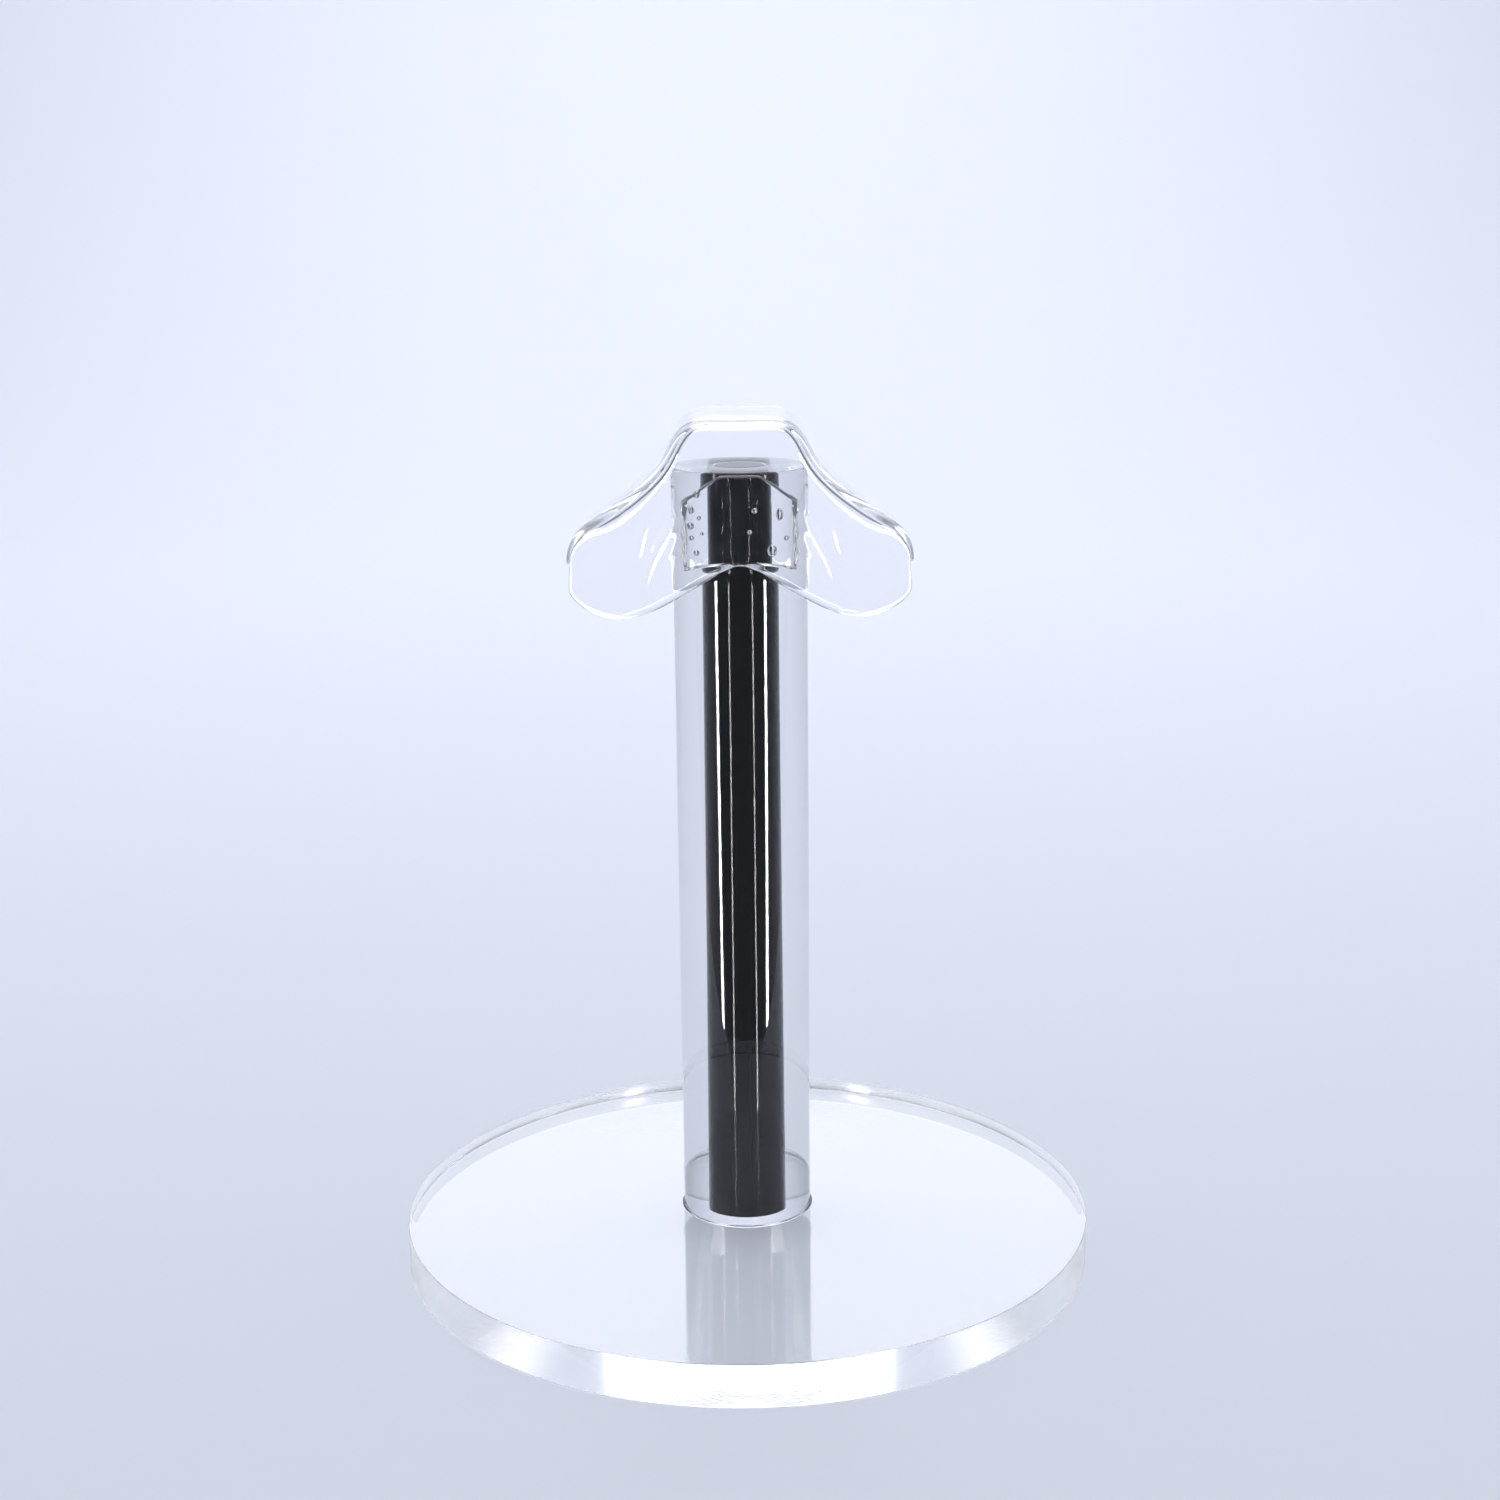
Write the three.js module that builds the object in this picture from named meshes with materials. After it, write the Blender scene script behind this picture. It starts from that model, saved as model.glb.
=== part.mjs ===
// Eyeglasses display stand: a clear acrylic disc, a clear post with a slim glossy black core inside it,
// and a clear moulded nose saddle on top that carries one pair of glasses. Every joint is bonded.
// Millimetres, +Z up. The origin is the centre of the base's underside and the front is -Y.
import * as THREE from "three";

// Base disc and post
const BASE_RADIUS = 40;
const BASE_THICKNESS = 5;
const BASE_BEVEL = 0.3;
const POST_RADIUS = 7.5;
const BORE_RADIUS = 3;
const POST_BEVEL = 0.25;
const CORE_RADIUS = 2.85;
const CORE_BEVEL = 0.2;
const POST_TOP = 92.75;

// Adhesive under the post: a film as wide as the post, with a bead squeezed out around it
const FILM_THICKNESS = 0.25;
const BEAD_RADIUS = 7.7;
const POST_FOOT = BASE_THICKNESS + FILM_THICKNESS;

// Nose saddle: a front web, rounded over into a flange that runs back along its upper outline
const WALL = 1.3;
const WALL_AT_TIP = 0.5;
const SADDLE_TOP = 98.75;
const RIDGE_HALF_WIDTH = 3.6;
const WEB_FRONT = -10.6;
const WEB_FLARE = 0.31;
const WEB_ROUNDING = 4;
const LEAN_START = 90;
const LEAN_DEPTH = 2.4;
const RIM_RADIUS = 2.2;
const RIM_AT_TIP = 0.6;
const FLANGE_DEPTH = 14.4;
const FLANGE_AT_TIP = 0.9;
const SLOPE_PROBE = 0.05;
const COLUMNS_PER_SIDE = 22;
const WEB_ROWS = 9;
const RIM_ROWS = 4;
const FLANGE_ROWS = 5;

// Adhesive pad between the post's front and the inside of the web
const PAD_GAP = 0.15;
const PAD_HALF_WIDTH = 6.2;
const PAD_BOTTOM = 83.5;
const PAD_TOP = 91.2;
const PAD_STEPS = 10;

const clearAcrylic = new THREE.MeshStandardMaterial({
  color: 0xe9edf8,
  roughness: 0.05,
  metalness: 0,
  transparent: true,
  opacity: 0.35,
});
const clearAdhesive = new THREE.MeshStandardMaterial({
  color: 0xdfe3ee,
  roughness: 0.2,
  metalness: 0,
  transparent: true,
  opacity: 0.4,
});
const glossBlack = new THREE.MeshStandardMaterial({ color: 0x16161a, roughness: 0.12, metalness: 0 });

// A solid of revolution about +Z from [radius, height] pairs, listed from the lowest up the outside
function turned(pairs, segments) {
  const profile = pairs.map(([radius, height]) => new THREE.Vector2(radius, height));
  return new THREE.LatheGeometry(profile, segments).rotateX(Math.PI / 2);
}

function bevelledDisc(radius, low, high, bevel, segments) {
  return turned([
    [0, low],
    [radius - bevel, low],
    [radius, low + bevel],
    [radius, high - bevel],
    [radius - bevel, high],
    [0, high],
  ], segments);
}

function baseDisc() {
  return bevelledDisc(BASE_RADIUS, 0, BASE_THICKNESS, BASE_BEVEL, 96);
}

function coreRod() {
  return bevelledDisc(CORE_RADIUS, POST_FOOT, POST_TOP, CORE_BEVEL, 48);
}

function postTube() {
  const outer = POST_RADIUS - POST_BEVEL;
  return turned([
    [BORE_RADIUS, POST_FOOT],
    [outer, POST_FOOT],
    [POST_RADIUS, POST_FOOT + POST_BEVEL],
    [POST_RADIUS, POST_TOP - POST_BEVEL],
    [outer, POST_TOP],
    [BORE_RADIUS, POST_TOP],
    [BORE_RADIUS, POST_FOOT],
  ], 64);
}

function baseFilm() {
  return turned([
    [0, BASE_THICKNESS],
    [BEAD_RADIUS, BASE_THICKNESS],
    [BEAD_RADIUS - FILM_THICKNESS / 2, POST_FOOT],
    [0, POST_FOOT],
  ], 64);
}

// The saddle's upper outline, from the middle of the ridge to the tip of one wing, as x and z
function upperOutline() {
  const path = new THREE.Path();
  path.moveTo(0, SADDLE_TOP);
  path.lineTo(RIDGE_HALF_WIDTH, SADDLE_TOP);
  path.bezierCurveTo(6.0, SADDLE_TOP, 7.0, 97.2, 8.05, 94.9);
  path.bezierCurveTo(9.15, 92.5, 12.6, 89.8, 16.6, 87.3);
  path.bezierCurveTo(18.1, 86.4, 19.05, 84.9, 19.05, 82.7);
  return path;
}

// The web's free lower edge, from the middle to the same wing tip
function lowerOutline() {
  const path = new THREE.Path();
  path.moveTo(0, 83.1);
  path.bezierCurveTo(2.2, 83.1, 9.2, 76.8, 13.2, 76.8);
  path.bezierCurveTo(15.7, 76.8, 18.2, 77.8, 18.9, 79.9);
  return path;
}

// The web is rounded over its middle and flares back in two nearly flat wings
function webDepth(x, z) {
  const sweep = WEB_FLARE * (Math.hypot(x, WEB_ROUNDING) - WEB_ROUNDING);
  const lean = Math.max(0, (z - LEAN_START) / (SADDLE_TOP - LEAN_START));
  return WEB_FRONT + sweep + LEAN_DEPTH * lean * lean;
}

function falling(from, value) {
  return 1 - THREE.MathUtils.smoothstep(value, from, 1);
}

// The slope at which the web meets its rim, as the angle that the rim's rounding starts from
function rimStart(edge, inward) {
  const probe = edge.clone().addScaledVector(inward, SLOPE_PROBE);
  const slope = (webDepth(edge.x, edge.y) - webDepth(probe.x, probe.y)) / SLOPE_PROBE;
  return Math.atan(Math.max(0, slope));
}

function webNormal(x, z) {
  const acrossSlope = (webDepth(x + SLOPE_PROBE, z) - webDepth(x - SLOPE_PROBE, z)) / (2 * SLOPE_PROBE);
  const upSlope = (webDepth(x, z + SLOPE_PROBE) - webDepth(x, z - SLOPE_PROBE)) / (2 * SLOPE_PROBE);
  return new THREE.Vector3(acrossSlope, -1, upSlope).normalize();
}

// A point of the saddle's outer skin on its right half, with its normal. along runs from 0 at the
// middle to 1 at the wing tip, and row from 0 at the lower edge to 1 at the top of the web, 2 past
// the rim and 3 at the back edge.
function skin(upper, lower, along, row) {
  const edge = upper.getPointAt(along);
  const tangent = upper.getTangentAt(along);
  const inward = new THREE.Vector2(tangent.y, -tangent.x);
  const rim = RIM_AT_TIP + (RIM_RADIUS - RIM_AT_TIP) * falling(0.7, along);
  const start = rimStart(edge, inward);
  const inset = edge.clone().addScaledVector(inward, rim * (1 - Math.sin(start)));
  if (row <= 1) {
    const flat = lower.getPointAt(along).lerp(inset, row);
    return {
      point: new THREE.Vector3(flat.x, webDepth(flat.x, flat.y), flat.y),
      normal: webNormal(flat.x, flat.y),
    };
  }
  const turn = THREE.MathUtils.lerp(start, Math.PI / 2, Math.min(row - 1, 1));
  const flat = edge.clone().addScaledVector(inward, rim * (1 - Math.sin(turn)));
  const depth = FLANGE_AT_TIP + (FLANGE_DEPTH - FLANGE_AT_TIP) * falling(0.25, along);
  const rounded = webDepth(inset.x, inset.y) + rim * (Math.cos(start) - Math.cos(turn));
  return {
    point: new THREE.Vector3(flat.x, rounded + depth * Math.max(row - 2, 0), flat.y),
    normal: new THREE.Vector3(-inward.x * Math.sin(turn), -Math.cos(turn), -inward.y * Math.sin(turn)),
  };
}

function saddleRows() {
  const rows = [];
  for (let i = 0; i <= WEB_ROWS; i += 1) rows.push(i / WEB_ROWS);
  for (let i = 1; i <= RIM_ROWS; i += 1) rows.push(1 + i / RIM_ROWS);
  for (let i = 1; i <= FLANGE_ROWS; i += 1) rows.push(2 + i / FLANGE_ROWS);
  return rows;
}

// The skin's grid, the same grid one wall further in, and a strip joining the two round the edge
function nosePiece() {
  const upper = upperOutline();
  const lower = lowerOutline();
  const rows = saddleRows();
  const width = 2 * COLUMNS_PER_SIDE + 1;
  const outside = [];
  const inside = [];
  for (const row of rows) {
    for (let column = 0; column < width; column += 1) {
      const side = column / COLUMNS_PER_SIDE - 1;
      const mirror = new THREE.Vector3(side < 0 ? -1 : 1, 1, 1);
      const { point, normal } = skin(upper, lower, Math.abs(side), row);
      const wall = WALL_AT_TIP + (WALL - WALL_AT_TIP) * falling(0.7, Math.abs(side));
      const inner = point.clone().addScaledVector(normal, -wall);
      outside.push(point.multiply(mirror));
      inside.push(inner.multiply(mirror));
    }
  }
  const vertices = [...outside, ...inside];
  const back = outside.length;
  const at = (column, row) => row * width + column;
  const faces = [];
  for (let row = 0; row < rows.length - 1; row += 1) {
    for (let column = 0; column < width - 1; column += 1) {
      const a = at(column, row);
      const b = at(column + 1, row);
      const c = at(column + 1, row + 1);
      const d = at(column, row + 1);
      faces.push(a, b, c, a, c, d);
      faces.push(back + a, back + c, back + b, back + a, back + d, back + c);
    }
  }
  const last = rows.length - 1;
  const loop = [];
  for (let column = 0; column < width - 1; column += 1) loop.push(at(column, 0));
  for (let row = 0; row < last; row += 1) loop.push(at(width - 1, row));
  for (let column = width - 1; column > 0; column -= 1) loop.push(at(column, last));
  for (let row = last; row > 0; row -= 1) loop.push(at(0, row));
  loop.forEach((p, i) => {
    const q = loop[(i + 1) % loop.length];
    faces.push(q, p, back + p, q, back + p, back + q);
  });
  const geometry = new THREE.BufferGeometry().setFromPoints(vertices);
  geometry.setIndex(faces);
  geometry.computeVertexNormals();
  return geometry;
}

// A crescent between the post and the inside of the web, extruded upwards
function nosePad() {
  const outline = [];
  for (let i = 0; i <= PAD_STEPS; i += 1) {
    const x = PAD_HALF_WIDTH * (2 * i / PAD_STEPS - 1);
    outline.push(new THREE.Vector2(x, webDepth(x, PAD_BOTTOM) + WALL + PAD_GAP));
  }
  const radius = POST_RADIUS + PAD_GAP;
  for (let i = PAD_STEPS; i >= 0; i -= 1) {
    const x = PAD_HALF_WIDTH * (2 * i / PAD_STEPS - 1);
    outline.push(new THREE.Vector2(x, -Math.sqrt(radius * radius - x * x)));
  }
  const depth = PAD_TOP - PAD_BOTTOM;
  const geometry = new THREE.ExtrudeGeometry(new THREE.Shape(outline), { depth, bevelEnabled: false });
  return geometry.translate(0, 0, PAD_BOTTOM);
}

const stand = new THREE.Group();

function place(name, geometry, material) {
  const mesh = new THREE.Mesh(geometry, material);
  mesh.name = name;
  stand.add(mesh);
}

place("base_disc", baseDisc(), clearAcrylic);
place("base_glue", baseFilm(), clearAdhesive);
place("post_tube", postTube(), clearAcrylic);
place("core_rod", coreRod(), glossBlack);
place("nose_glue", nosePad(), clearAdhesive);
place("nose_piece", nosePiece(), clearAcrylic);

export default stand;
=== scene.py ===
"""Eyeglasses display stand: a clear acrylic disc, a clear post round a glossy black core, and a clear
moulded nose saddle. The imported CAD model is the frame, and the pieces below are its finer surfaces.
Lengths are in metres, and MM turns millimetres into them."""

import math

import bmesh
import bpy
from mathutils import Matrix, Vector
from mathutils.bvhtree import BVHTree


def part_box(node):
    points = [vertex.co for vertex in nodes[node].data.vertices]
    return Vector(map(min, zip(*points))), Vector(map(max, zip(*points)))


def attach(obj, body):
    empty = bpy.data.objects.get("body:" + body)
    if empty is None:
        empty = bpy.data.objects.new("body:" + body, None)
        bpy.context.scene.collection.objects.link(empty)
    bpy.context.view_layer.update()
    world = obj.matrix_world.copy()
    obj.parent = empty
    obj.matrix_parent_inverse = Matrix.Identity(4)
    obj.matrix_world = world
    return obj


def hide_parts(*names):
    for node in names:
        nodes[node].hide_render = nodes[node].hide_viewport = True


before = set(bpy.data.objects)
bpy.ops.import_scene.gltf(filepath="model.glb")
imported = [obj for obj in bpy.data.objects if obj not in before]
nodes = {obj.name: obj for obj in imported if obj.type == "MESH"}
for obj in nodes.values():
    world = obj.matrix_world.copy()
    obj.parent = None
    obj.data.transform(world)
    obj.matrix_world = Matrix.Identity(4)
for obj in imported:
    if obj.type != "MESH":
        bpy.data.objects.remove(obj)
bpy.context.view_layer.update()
MM = 0.001
MICRON = 0.000001

disc_low, disc_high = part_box("base_disc")
post_low, post_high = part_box("post_tube")
core_low, core_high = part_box("core_rod")
film_low, film_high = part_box("base_glue")
pad_low, pad_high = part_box("nose_glue")
saddle_low, saddle_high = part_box("nose_piece")

# The adhesive behind the web has slightly wavy sides, and a roof and a floor that fall away from the middle
GLUE_HALF_WIDTH = 6.0 * MM
GLUE_TOP = pad_high.z + 1.2 * MM
GLUE_ROOF = pad_high.z + 2.6 * MM
GLUE_ROOF_SLOPE = 0.68
GLUE_BOTTOM = pad_low.z + 0.1 * MM
GLUE_FLOOR_SLOPE = 0.2
GLUE_WAVE = 0.12 * MM
GLUE_WAVE_RATE = 2 * math.pi / (2.6 * MM)

# The middle of the web's wall, as a parabola over x, tells the wetted back of the web from its front
WEB_CURVATURE = 27.6
WEB_WALL = 1.3 * MM
WEB_MIDDLE = saddle_low.y + WEB_WALL / 2

FOOT_BOND_RADIUS = post_high.x - 0.04 * MM
MASK_MARGIN = 0.05 * MM

# How light passes the clear materials: refractive indices, what a bond swallows, and the disc's matt rim
ACRYLIC_IOR = 1.49
MOULDED_IOR = 1.50
ADHESIVE_IOR = 1.47
BOND_COLOUR = (0.965, 0.967, 0.972, 1)
RIM_ROUGHNESS = 0.14


# ---------------------------------------------------------------- helpers

EDGE_STEPS = 6


def new_object(name, bm, smooth_angle=math.radians(50)):
    mesh = bpy.data.meshes.new(name)
    bm.normal_update()
    bm.to_mesh(mesh)
    bm.free()
    mesh.shade_smooth()
    mesh.set_sharp_from_angle(angle=smooth_angle)
    obj = bpy.data.objects.new(name, mesh)
    bpy.context.scene.collection.objects.link(obj)
    return obj


def finish_piece(obj, node, slot, *materials):
    for material in materials:
        obj.data.materials.append(material)
    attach(obj, "root")
    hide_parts(node)


def corner(centre, radius, start, end, steps):
    """Points of a rounded corner in a turned profile, from one angle to the other, in degrees."""
    points = []
    for i in range(steps + 1):
        turn = math.radians(start + (end - start) * i / steps)
        points.append((centre[0] + radius * math.cos(turn), centre[1] + radius * math.sin(turn)))
    return points


def turned(name, profile, segments, closed=False):
    """Turns a profile of (radius, height) about the Z axis. An open one starts and ends on the axis."""
    bm = bmesh.new()
    rings = []
    for radius, height in profile:
        if radius < 1e-9:
            rings.append([bm.verts.new((0, 0, height))])
            continue
        ring = []
        for k in range(segments):
            turn = 2 * math.pi * k / segments
            ring.append(bm.verts.new((radius * math.cos(turn), radius * math.sin(turn), height)))
        rings.append(ring)
    pairs = list(zip(rings, rings[1:]))
    if closed:
        pairs.append((rings[-1], rings[0]))
    for lower, upper in pairs:
        for k in range(segments):
            n = (k + 1) % segments
            if len(lower) == 1:
                bm.faces.new((lower[0], upper[n], upper[k]))
            elif len(upper) == 1:
                bm.faces.new((lower[k], lower[n], upper[0]))
            else:
                bm.faces.new((lower[k], lower[n], upper[n], upper[k]))
    return new_object(name, bm)


def rounded_disc(radius, low, high, edge, support=0.6 * MM):
    """The profile of a solid disc or rod with two rounded rims and a support ring inside each flat."""
    profile = [(0, low), (radius - edge - support, low)]
    profile += corner((radius - edge, low + edge), edge, -90, 0, EDGE_STEPS)
    profile += corner((radius - edge, high - edge), edge, 0, 90, EDGE_STEPS)
    profile += [(radius - edge - support, high), (0, high)]
    return profile


# ---------------------------------------------------------------- materials


class Nodes:
    """A small wrapper that adds and links shader nodes."""

    def __init__(self, name):
        self.material = bpy.data.materials.new(name)
        self.material.use_nodes = True
        self.tree = self.material.node_tree
        self.tree.nodes.clear()
        self.out = self.add("ShaderNodeOutputMaterial")
        self.shader = self.add("ShaderNodeBsdfPrincipled")

    def add(self, kind, **settings):
        node = self.tree.nodes.new(kind)
        for key, value in settings.items():
            if key in node.inputs:
                node.inputs[key].default_value = value
            else:
                setattr(node, key, value)
        return node

    def link(self, source, target):
        self.tree.links.new(source, target)

    def position(self, scale):
        """Object coordinates stretched by scale, so that a pattern can run along one direction."""
        coords = self.add("ShaderNodeTexCoord")
        mapping = self.add("ShaderNodeMapping")
        mapping.inputs["Scale"].default_value = scale
        self.link(coords.outputs["Object"], mapping.inputs["Vector"])
        return mapping.outputs["Vector"]

    def noise(self, vector, scale, detail=4.0, rough=0.55):
        node = self.add("ShaderNodeTexNoise", Scale=scale, Detail=detail, Roughness=rough)
        self.link(vector, node.inputs["Vector"])
        return node.outputs["Fac"]

    def ramp(self, source, low, high, start=0.0, end=1.0):
        node = self.add("ShaderNodeMapRange")
        node.inputs["From Min"].default_value = start
        node.inputs["From Max"].default_value = end
        node.inputs["To Min"].default_value = low
        node.inputs["To Max"].default_value = high
        self.link(source, node.inputs["Value"])
        return node.outputs["Result"]

    def math(self, operation, first, second=0.0):
        """One Math node. Each operand is a number or another node's output."""
        node = self.add("ShaderNodeMath", operation=operation)
        for socket, value in zip(node.inputs, (first, second)):
            if isinstance(value, (int, float)):
                socket.default_value = value
            else:
                self.link(value, socket)
        return node.outputs["Value"]

    def axes(self):
        """The object coordinates as x, y and z, and the distance from the Z axis."""
        coords = self.add("ShaderNodeTexCoord")
        split = self.add("ShaderNodeSeparateXYZ")
        self.link(coords.outputs["Object"], split.inputs["Vector"])
        x, y, z = (split.outputs[axis] for axis in "XYZ")
        squares = self.math("ADD", self.math("MULTIPLY", x, x), self.math("MULTIPLY", y, y))
        return x, y, z, self.math("SQRT", squares)

    def bump(self, height, strength, distance, under=None):
        node = self.add("ShaderNodeBump", Strength=strength, Distance=distance)
        self.link(height, node.inputs["Height"])
        if under is not None:
            self.link(under, node.inputs["Normal"])
        return node.outputs["Normal"]


def bonded_faces(m):
    """1 where a piece is wetted by adhesive and 0 elsewhere: under the post, in its bore round the core,
    and behind the saddle's web. No air is left at a bond, so light goes straight through it."""
    x, y, z, radius = m.axes()
    under_post = m.math("MULTIPLY", m.math("LESS_THAN", z, film_high.z + 0.01 * MM),
                        m.math("LESS_THAN", radius, FOOT_BOND_RADIUS))
    in_bore = m.math("MULTIPLY", m.math("LESS_THAN", z, post_high.z - 0.02 * MM),
                     m.math("LESS_THAN", radius, post_high.x / 2))
    above_disc = m.math("GREATER_THAN", z, disc_high.z - MASK_MARGIN)
    post = m.math("MULTIPLY", above_disc, m.math("MAXIMUM", under_post, in_bore))

    across = m.math("ABSOLUTE", x)
    wave = m.math("MULTIPLY", m.math("SINE", m.math("MULTIPLY", z, GLUE_WAVE_RATE)), GLUE_WAVE)
    roof = m.math("ADD", z, m.math("MULTIPLY", across, GLUE_ROOF_SLOPE))
    floor = m.math("ADD", z, m.math("MULTIPLY", across, GLUE_FLOOR_SLOPE))
    web_curve = m.math("MULTIPLY", m.math("MULTIPLY", x, x), WEB_CURVATURE)
    pad = m.math("LESS_THAN", m.math("SUBTRACT", across, wave), GLUE_HALF_WIDTH)
    for part in (
        m.math("LESS_THAN", roof, GLUE_ROOF),
        m.math("LESS_THAN", z, GLUE_TOP),
        m.math("GREATER_THAN", floor, GLUE_BOTTOM),
        m.math("GREATER_THAN", radius, post_high.x - 0.5 * MM),
        m.math("GREATER_THAN", m.math("SUBTRACT", y, web_curve), WEB_MIDDLE),
        m.math("LESS_THAN", y, 0.0),
    ):
        pad = m.math("MULTIPLY", pad, part)
    return m.math("MAXIMUM", post, pad)


def disc_rim(m):
    """1 on the disc's upright edge, which is sawn and then only lightly polished, and 0 elsewhere."""
    radius = m.axes()[3]
    return m.math("GREATER_THAN", radius, disc_high.x - MASK_MARGIN)


def clear_plastic(
        name, tint, shadow, ior, roughness, grain, grain_depth, scratch, bonded=True, saw_marks=0.0):
    """Clear polished plastic with a slow swell (grain), hair scratches and, on sawn pieces, saw marks. The
    light behind it is little weakened, so its shadow is light."""
    m = Nodes(name)
    m.shader.inputs["Base Color"].default_value = (*tint, 1)
    m.shader.inputs["Transmission Weight"].default_value = 1.0
    m.shader.inputs["IOR"].default_value = ior
    haze = m.noise(m.position((1, 1, 1)), scale=90, detail=5)
    rough = m.ramp(haze, roughness * 0.4, roughness * 1.8, start=0.3, end=0.7)
    if saw_marks:
        rough = m.math("ADD", rough, m.math("MULTIPLY", disc_rim(m), RIM_ROUGHNESS))
    m.link(rough, m.shader.inputs["Roughness"])
    swell = m.noise(m.position(grain), scale=60, detail=3)
    fine = m.noise(m.position(scratch), scale=900, detail=2)
    waves = m.bump(swell, 1.0, grain_depth)
    if saw_marks:
        upright = m.noise(m.position((1, 1, 0.02)), scale=1600, detail=2)
        waves = m.bump(upright, 1.0, saw_marks, waves)
    m.link(m.bump(fine, 0.2, MICRON, waves), m.shader.inputs["Normal"])
    surface = m.shader.outputs["BSDF"]
    if bonded:
        contact = m.add("ShaderNodeBsdfTransparent")
        contact.inputs["Color"].default_value = BOND_COLOUR
        mix = m.add("ShaderNodeMixShader")
        m.link(bonded_faces(m), mix.inputs["Fac"])
        m.link(surface, mix.inputs[1])
        m.link(contact.outputs["BSDF"], mix.inputs[2])
        surface = mix.outputs["Shader"]
    through = m.add("ShaderNodeBsdfTransparent")
    through.inputs["Color"].default_value = (*shadow, 1)
    path = m.add("ShaderNodeLightPath")
    mix = m.add("ShaderNodeMixShader")
    straight = m.math("MAXIMUM", path.outputs["Is Shadow Ray"], path.outputs["Is Diffuse Ray"])
    m.link(straight, mix.inputs["Fac"])
    m.link(surface, mix.inputs[1])
    m.link(through.outputs["BSDF"], mix.inputs[2])
    m.link(mix.outputs["Shader"], m.out.inputs["Surface"])
    return m.material


def wetted_face():
    """The face of the adhesive against the plastic: no reflection, only a trace of haze."""
    m = Nodes("adhesive_contact")
    m.shader.inputs["Base Color"].default_value = (0.85, 0.86, 0.90, 1)
    haze = m.noise(m.position((1, 1, 1)), scale=500, detail=3)
    m.link(m.ramp(haze, 0.6, 0.9), m.shader.inputs["Roughness"])
    clear = m.add("ShaderNodeBsdfTransparent")
    mix = m.add("ShaderNodeMixShader")
    m.link(m.ramp(haze, 0.0, 0.03, start=0.4, end=0.8), mix.inputs["Fac"])
    m.link(clear.outputs["BSDF"], mix.inputs[1])
    m.link(m.shader.outputs["BSDF"], mix.inputs[2])
    m.link(mix.outputs["Shader"], m.out.inputs["Surface"])
    return m.material


def gloss_black():
    """The polished core, with faint streaks drawn out along its length."""
    m = Nodes("gloss_black")
    m.shader.inputs["IOR"].default_value = 1.5
    m.shader.inputs["Specular IOR Level"].default_value = 0.3
    streaks = m.noise(m.position((1, 1, 0.02)), scale=700, detail=3)
    colour = m.add("ShaderNodeValToRGB")
    colour.color_ramp.elements[0].color = (0.004, 0.004, 0.004, 1)
    colour.color_ramp.elements[1].color = (0.010, 0.010, 0.012, 1)
    m.link(streaks, colour.inputs["Fac"])
    m.link(colour.outputs["Color"], m.shader.inputs["Base Color"])
    m.link(m.ramp(streaks, 0.01, 0.03), m.shader.inputs["Roughness"])
    m.link(m.bump(streaks, 0.1, 0.3 * MICRON), m.shader.inputs["Normal"])
    m.link(m.shader.outputs["BSDF"], m.out.inputs["Surface"])
    return m.material


acrylic = clear_plastic(
    "clear_acrylic", tint=(0.89, 0.895, 0.905), shadow=(0.99, 0.99, 0.99), ior=ACRYLIC_IOR,
    roughness=0.006, grain=(1, 1, 0.2), grain_depth=0.3 * MICRON, scratch=(1, 1, 0.15))
sawn_acrylic = clear_plastic(
    "clear_acrylic_disc", tint=(0.990, 0.992, 0.995), shadow=(0.99, 0.99, 0.99), ior=ACRYLIC_IOR,
    roughness=0.006, grain=(1, 1, 0.2), grain_depth=MICRON, scratch=(1, 1, 0.15), saw_marks=4 * MICRON)
moulded = clear_plastic(
    "clear_moulded", tint=(0.985, 0.988, 0.995), shadow=(0.95, 0.955, 0.965), ior=MOULDED_IOR,
    roughness=0.02, grain=(1.6, 0.6, 0.5), grain_depth=60 * MICRON, scratch=(0.3, 1, 1))
adhesive = clear_plastic(
    "clear_adhesive", tint=(0.97, 0.975, 0.985), shadow=(0.94, 0.94, 0.95), ior=ADHESIVE_IOR,
    roughness=0.03, grain=(1, 1, 1), grain_depth=40 * MICRON, scratch=(1, 1, 1))
bubble_wall = clear_plastic(
    "adhesive_bubble", tint=(0.97, 0.975, 0.985), shadow=(0.94, 0.94, 0.95), ior=ADHESIVE_IOR,
    roughness=0.02, grain=(1, 1, 1), grain_depth=4 * MICRON, scratch=(1, 1, 1), bonded=False)
contact_face = wetted_face()
black = gloss_black()


# ---------------------------------------------------------------- pieces

SEGMENTS = 256
BORE_CLEARANCE = 0.02 * MM
DISC_EDGE = 0.06 * MM
CORE_EDGE = 0.25 * MM
CORE_SUPPORT = 0.2 * MM
POST_EDGE = 0.3 * MM
FOOT_EDGE = 0.03 * MM
BORE_EDGE = 0.01 * MM


def base_disc():
    profile = rounded_disc(disc_high.x, disc_low.z, disc_high.z, DISC_EDGE)
    return turned("base_disc_fine", profile, SEGMENTS)


def core_rod():
    profile = rounded_disc(core_high.x, core_low.z, core_high.z, CORE_EDGE, CORE_SUPPORT)
    return turned("core_rod_fine", profile, SEGMENTS)


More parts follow.
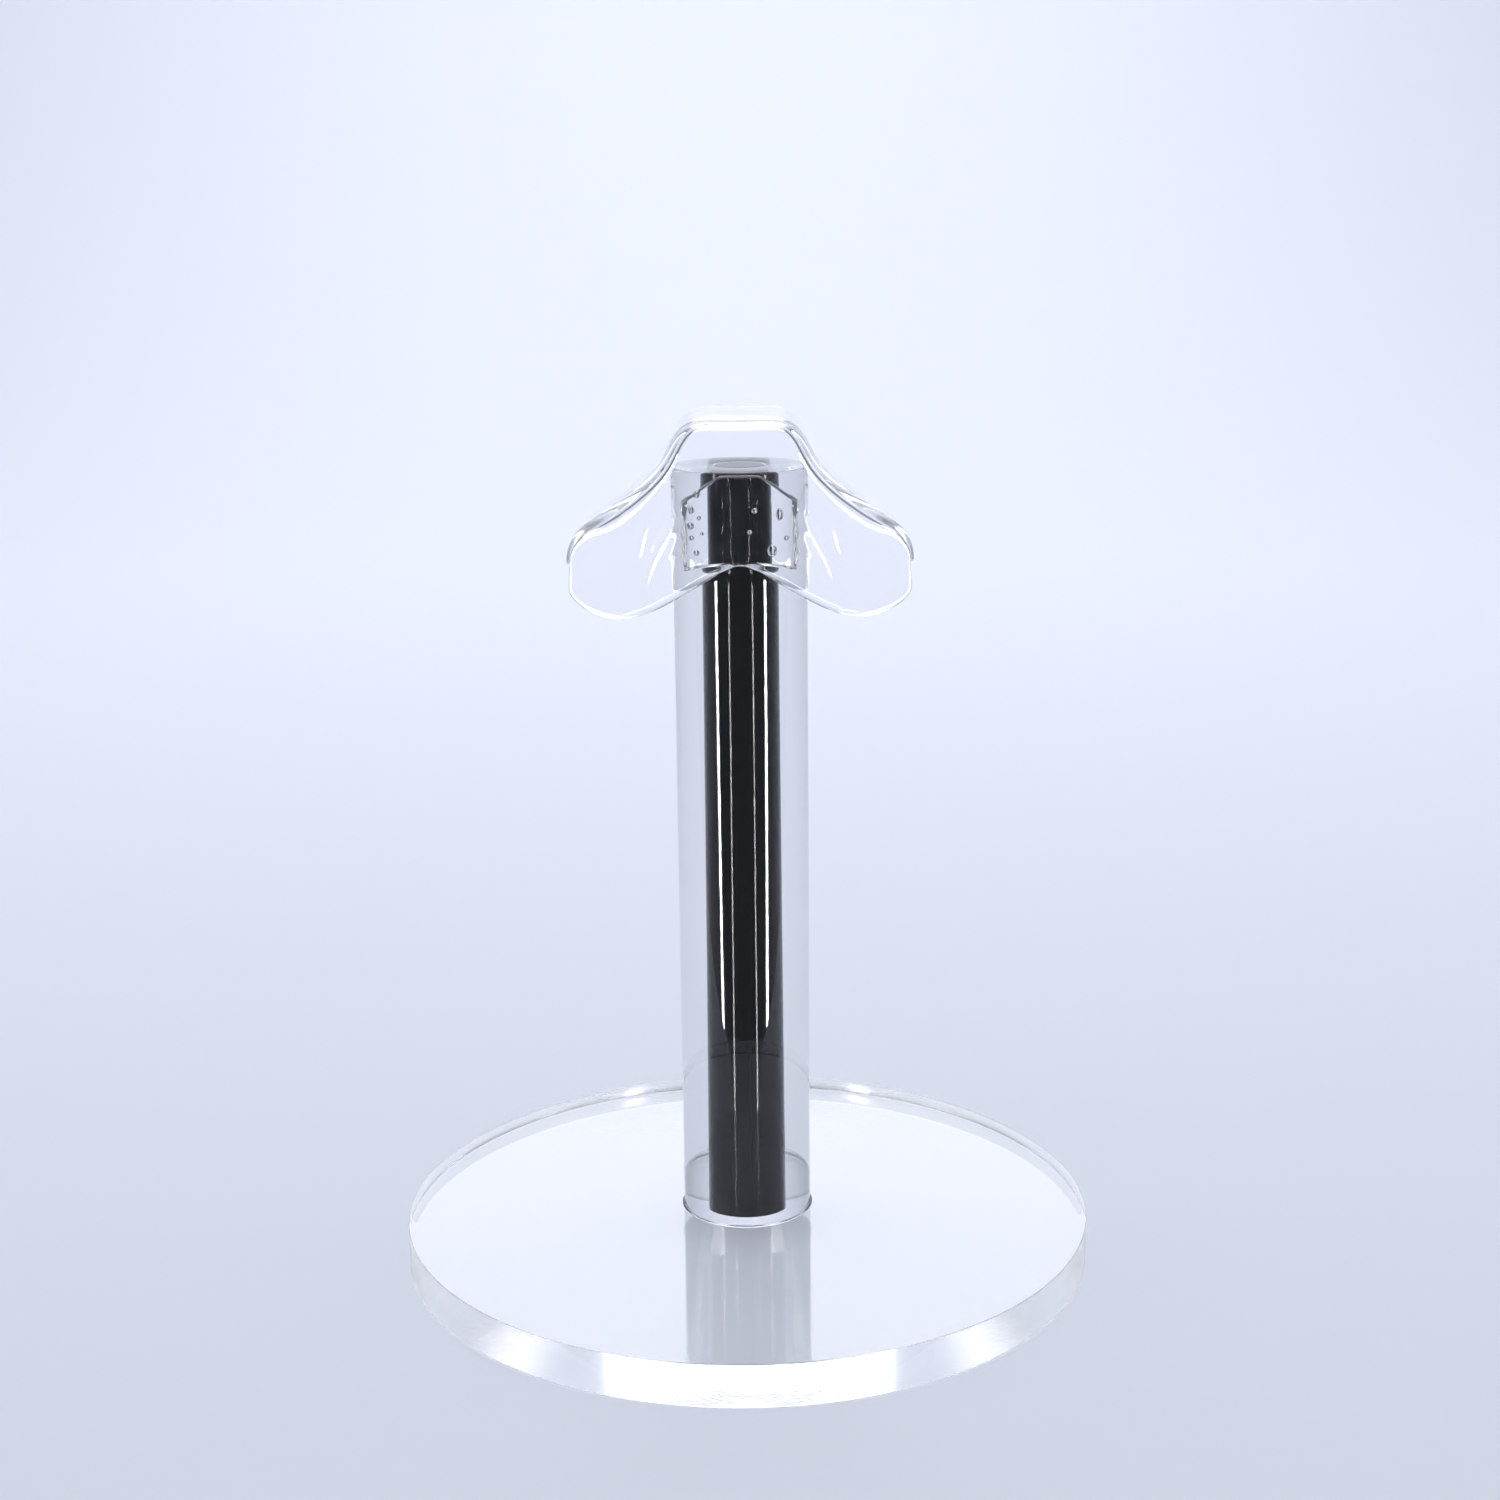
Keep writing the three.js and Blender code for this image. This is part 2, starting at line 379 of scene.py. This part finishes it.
def post_tube():
    outer, low, high = post_high.x, post_low.z, post_high.z
    bore_corner = core_high.x + BORE_CLEARANCE + BORE_EDGE
    profile = corner((bore_corner, low + BORE_EDGE), BORE_EDGE, 180, 270, 4)
    profile += corner((outer - FOOT_EDGE, low + FOOT_EDGE), FOOT_EDGE, -90, 0, 2)
    profile += corner((outer - POST_EDGE, high - POST_EDGE), POST_EDGE, 0, 90, EDGE_STEPS)
    profile += corner((bore_corner, high - BORE_EDGE), BORE_EDGE, 90, 180, 4)
    return turned("post_tube_fine", profile, SEGMENTS, closed=True)


def base_film():
    outer, low, high = film_high.x, film_low.z, film_high.z
    profile = [(0, low), (outer - 0.1 * MM, low)]
    profile += corner((outer - (high - low) / 2, (low + high) / 2), (high - low) / 2, -90, 90, 8)
    profile += [(0, high)]
    return turned("base_glue_fine", profile, SEGMENTS)


# Flow lines moulded into each wing: where each lies across the wing, how long it runs and how high it
# stands, in millimetres
FLOW_LINES = (
    (7.6, 10.5, 0.03),
    (8.5, 12.0, 0.045),
    (9.3, 9.0, 0.025),
    (10.6, 7.0, 0.03),
)
FLOW_START = Vector((4.2 * MM, 94 * MM))
FLOW_END = Vector((10.5 * MM, 78.5 * MM))
FLOW_CENTRE = 8.0
FLOW_WIDTH = 0.28 * MM
FLOW_WANDER = 0.3 * MM
FLOW_WANDER_LENGTH = 2.2 * MM


def flow_height(x, z):
    """How high the flow lines stand at a point of the web. They run from its top down into a wing."""
    run = FLOW_END - FLOW_START
    along = run.normalized()
    offset = Vector((abs(x), z)) - FLOW_START
    distance = offset.dot(along)
    side = offset.y * along.x - offset.x * along.y
    height = 0.0
    for start, length, rise in FLOW_LINES:
        line = (start - FLOW_CENTRE) * MM + FLOW_WANDER * math.sin(distance / FLOW_WANDER_LENGTH + start)
        share = max(0.0, 1 - abs(distance - run.length * 0.62) / (length * 0.6 * MM))
        height += rise * MM * share * math.exp(-(((side - line) / FLOW_WIDTH) ** 2))
    return height


def saddle():
    """The CAD saddle with its triangles joined to quads, its surface subdivided, and the shallow flow lines
    of moulded plastic raised on the front of its web."""
    bm = bmesh.new()
    bm.from_mesh(nodes["nose_piece"].data)
    bmesh.ops.remove_doubles(bm, verts=bm.verts, dist=0.002 * MM)
    bmesh.ops.join_triangles(
        bm, faces=bm.faces, cmp_seam=False, cmp_sharp=False, cmp_uvs=False, cmp_vcols=False,
        cmp_materials=False, angle_face_threshold=math.radians(70),
        angle_shape_threshold=math.radians(75))
    coarse = new_object("nose_piece_coarse", bm, math.radians(180))
    modifier = coarse.modifiers.new("fine surface", "SUBSURF")
    modifier.levels = modifier.render_levels = 3
    bpy.context.view_layer.update()
    smooth = coarse.evaluated_get(bpy.context.evaluated_depsgraph_get())
    bm = bmesh.new()
    bm.from_mesh(smooth.to_mesh())
    smooth.to_mesh_clear()
    bpy.data.objects.remove(coarse)
    for vertex in bm.verts:
        faces_front = vertex.normal.y < -0.6
        if faces_front:
            vertex.co -= vertex.normal * flow_height(vertex.co.x, vertex.co.z)
    return new_object("nose_piece_fine", bm, math.radians(180))


def add_bubble(bm, centre, radius, stretch):
    """A cavity in the adhesive, so its faces look inwards."""
    shape = bmesh.ops.create_icosphere(bm, subdivisions=3, radius=radius)
    for vertex in shape["verts"]:
        vertex.co = Vector((vertex.co.x, vertex.co.y * 0.8, vertex.co.z * stretch)) + centre
    faces = {face for vertex in shape["verts"] for face in vertex.link_faces}
    bmesh.ops.reverse_faces(bm, faces=list(faces))


# Air bubbles in the adhesive behind the web: across, up and radius in millimetres, and how much taller
# than wide
BUBBLES = (
    (-4.4, 90.6, 0.42, 1.0),
    (-5.0, 88.9, 0.34, 1.2),
    (-4.2, 88.1, 0.24, 1.0),
    (-5.1, 87.2, 0.40, 1.0),
    (-5.0, 85.9, 0.28, 1.0),
    (-4.5, 84.3, 0.34, 1.0),
    (-3.9, 86.4, 0.20, 1.0),
    (1.5, 88.9, 0.30, 1.0),
    (1.0, 86.6, 0.25, 1.0),
    (3.3, 84.5, 0.52, 1.3),
    (4.1, 88.4, 0.38, 1.8),
    (4.8, 85.8, 0.28, 1.0),
)


def nose_glue(web):
    """The adhesive between the web and the post, with straight-through faces where it wets them."""
    tree = BVHTree.FromObject(web, bpy.context.evaluated_depsgraph_get())
    steps = 32
    walls = 4
    bulge = 0.2 * MM
    overlap = 0.01 * MM

    def spot(u, v):
        x = u * GLUE_HALF_WIDTH
        top = min(GLUE_TOP, GLUE_ROOF - GLUE_ROOF_SLOPE * abs(x))
        bottom = GLUE_BOTTOM - GLUE_FLOOR_SLOPE * abs(x)
        z = bottom + (top - bottom) * v
        return u * (GLUE_HALF_WIDTH + GLUE_WAVE * math.sin(z * GLUE_WAVE_RATE)), z

    def depths(x, z):
        hit = tree.ray_cast(Vector((x, -1 * MM, z)), Vector((0, -1, 0)))[0]
        return hit.y + overlap, -math.sqrt(post_high.x ** 2 - x * x) - overlap

    bm = bmesh.new()
    front, back = {}, {}
    for i in range(steps + 1):
        for j in range(steps + 1):
            x, z = spot(2 * i / steps - 1, j / steps)
            near, far = depths(x, z)
            front[i, j] = bm.verts.new((x, near, z))
            back[i, j] = bm.verts.new((x, far, z))
    for i in range(steps):
        for j in range(steps):
            ring = [(i, j), (i + 1, j), (i + 1, j + 1), (i, j + 1)]
            bm.faces.new([front[at] for at in ring]).material_index = 1
            bm.faces.new([back[at] for at in reversed(ring)]).material_index = 1
    border = [(i, 0) for i in range(steps)] + [(steps, j) for j in range(steps)]
    border += [(i, steps) for i in range(steps, 0, -1)] + [(0, j) for j in range(steps, 0, -1)]
    middle = Vector((0, 0, (GLUE_BOTTOM + GLUE_TOP) / 2))
    rows = [[front[at] for at in border]]
    for k in range(1, walls):
        share = k / walls
        row = []
        for at in border:
            point = front[at].co.lerp(back[at].co, share)
            outward = Vector((point.x, 0, point.z - middle.z)).normalized()
            row.append(bm.verts.new(point + outward * bulge * math.sin(math.pi * share)))
        rows.append(row)
    rows.append([back[at] for at in border])
    for upper, lower in zip(rows, rows[1:]):
        for k in range(len(border)):
            n = (k + 1) % len(border)
            bm.faces.new((upper[k], lower[k], lower[n], upper[n]))
    for x, z, radius, stretch in BUBBLES:
        near, far = depths(x * MM, z * MM)
        add_bubble(bm, Vector((x * MM, (near + far) / 2, z * MM)), radius * MM, stretch)
    return new_object("nose_glue_fine", bm, math.radians(40))


saddle_web = saddle()
finish_piece(base_disc(), "base_disc", "clear_acrylic", sawn_acrylic)
finish_piece(base_film(), "base_glue", "clear_adhesive", adhesive)
finish_piece(post_tube(), "post_tube", "clear_acrylic", acrylic)
finish_piece(core_rod(), "core_rod", "gloss_black", black)
finish_piece(nose_glue(saddle_web), "nose_glue", "clear_adhesive", bubble_wall, contact_face)
finish_piece(saddle_web, "nose_piece", "clear_moulded", moulded)


# ---------------------------------------------------------------- stage, light and camera


def matte(name, colour):
    m = Nodes(name)
    m.shader.inputs["Base Color"].default_value = (*colour, 1)
    m.shader.inputs["Roughness"].default_value = 0.9
    m.shader.inputs["Specular IOR Level"].default_value = 0.1
    m.link(m.shader.outputs["BSDF"], m.out.inputs["Surface"])
    return m.material


STUDIO_PAPER = matte("studio_paper", (0.80, 0.83, 0.92))
PAPER_DROP = 0.08 * MM
PAPER_SIDES = (-2.0, 2.0)
SWEEP_FRONT = disc_low.y - 0.5 * MM
SWEEP_RADIUS = 0.5


def paper(name, line):
    """A wide strip of plain studio paper along a line of (y, z), just under the disc."""
    bm = bmesh.new()
    rows = [[bm.verts.new((x, y, z - PAPER_DROP)) for y, z in line] for x in PAPER_SIDES]
    for i in range(len(line) - 1):
        bm.faces.new((rows[0][i], rows[1][i], rows[1][i + 1], rows[0][i + 1]))
    obj = new_object(name, bm)
    obj.data.materials.append(STUDIO_PAPER)
    return obj


def area_light(name, location, target, size, power):
    lamp = bpy.data.lights.new(name, "AREA")
    lamp.shape = "RECTANGLE"
    lamp.size, lamp.size_y = size
    lamp.energy = power
    obj = bpy.data.objects.new(name, lamp)
    obj.location = location
    aim = Vector(target) - Vector(location)
    obj.rotation_euler = aim.to_track_quat("-Z", "Y").to_euler()
    bpy.context.scene.collection.objects.link(obj)
    return obj


bend = corner((SWEEP_RADIUS, SWEEP_RADIUS), SWEEP_RADIUS, -90, 0, 16)
paper("studio_sweep", [(SWEEP_FRONT, 0)] + bend + [(2 * SWEEP_RADIUS, 1.6)])
# The paper in front of the disc is left out of reflections, so that the core mirrors the dim room and
# the two strips
front_paper = paper("studio_front", [(-1.2, 0), (SWEEP_FRONT, 0)])
front_paper.visible_glossy = False
front_paper.visible_transmission = False

area_light("overhead", location=(0, 0.05, 1.2), target=(0, 0.05, 0), size=(1.4, 1.2), power=8.1)
area_light("backdrop_wash", location=(0, 0.1, 0.9), target=(0, 1.0, 0.3), size=(1.2, 0.5), power=2.45)
area_light("backdrop_glow", location=(0, 0.5, 0.7), target=(0, 0.85, 0.12), size=(0.3, 0.3), power=1.1)

# The disc's top mirrors this lamp, except where the post stands in its way
back_light = area_light(
    "back_light", location=(0, 0.93, 0.5), target=(0, 0, 0), size=(0.5, 0.36), power=0.52)
back_light.visible_camera = False

# Two tall narrow lamps in front of the stand draw the bright lines down the core
STRIP_BEARING = 42
STRIP_DISTANCE = 0.8
STRIP_HEIGHT = -0.1
for side in (-1, 1):
    turn = math.radians(side * STRIP_BEARING)
    place = (STRIP_DISTANCE * math.sin(turn), -STRIP_DISTANCE * math.cos(turn), STRIP_HEIGHT)
    strip = area_light("strip", location=place, target=(0, 0, STRIP_HEIGHT), size=(0.06, 1.2), power=11)
    strip.visible_diffuse = False
    strip.visible_camera = False

world = bpy.data.worlds.new("studio")
world.use_nodes = True
world.node_tree.nodes["Background"].inputs["Color"].default_value = (0.80, 0.85, 1.0, 1)
world.node_tree.nodes["Background"].inputs["Strength"].default_value = 0.22
bpy.context.scene.world = world

CAMERA_PLACE = (0, -262.65 * MM, 125.02 * MM)
CAMERA_TURN = -0.19
CAMERA_PITCH = -13.84
CAMERA_ROLL = -0.6
camera_data = bpy.data.cameras.new("camera")
camera_data.sensor_width = 36
camera_data.lens = 57.11
camera_data.clip_start = 0.01
camera = bpy.data.objects.new("camera", camera_data)
camera.matrix_world = (
    Matrix.Translation(CAMERA_PLACE)
    @ Matrix.Rotation(math.radians(CAMERA_TURN), 4, "Z")
    @ Matrix.Rotation(math.radians(90 + CAMERA_PITCH), 4, "X")
    @ Matrix.Rotation(math.radians(CAMERA_ROLL), 4, "Z")
)
bpy.context.scene.collection.objects.link(camera)
bpy.context.scene.camera = camera

bpy.context.scene.view_settings.view_transform = "Standard"
# Light crosses many clear faces one behind another, so paths need far more bounces than the default
BOUNCES = 32
cycles = bpy.context.scene.cycles
cycles.max_bounces = BOUNCES
cycles.transmission_bounces = BOUNCES
cycles.glossy_bounces = BOUNCES
cycles.transparent_max_bounces = BOUNCES
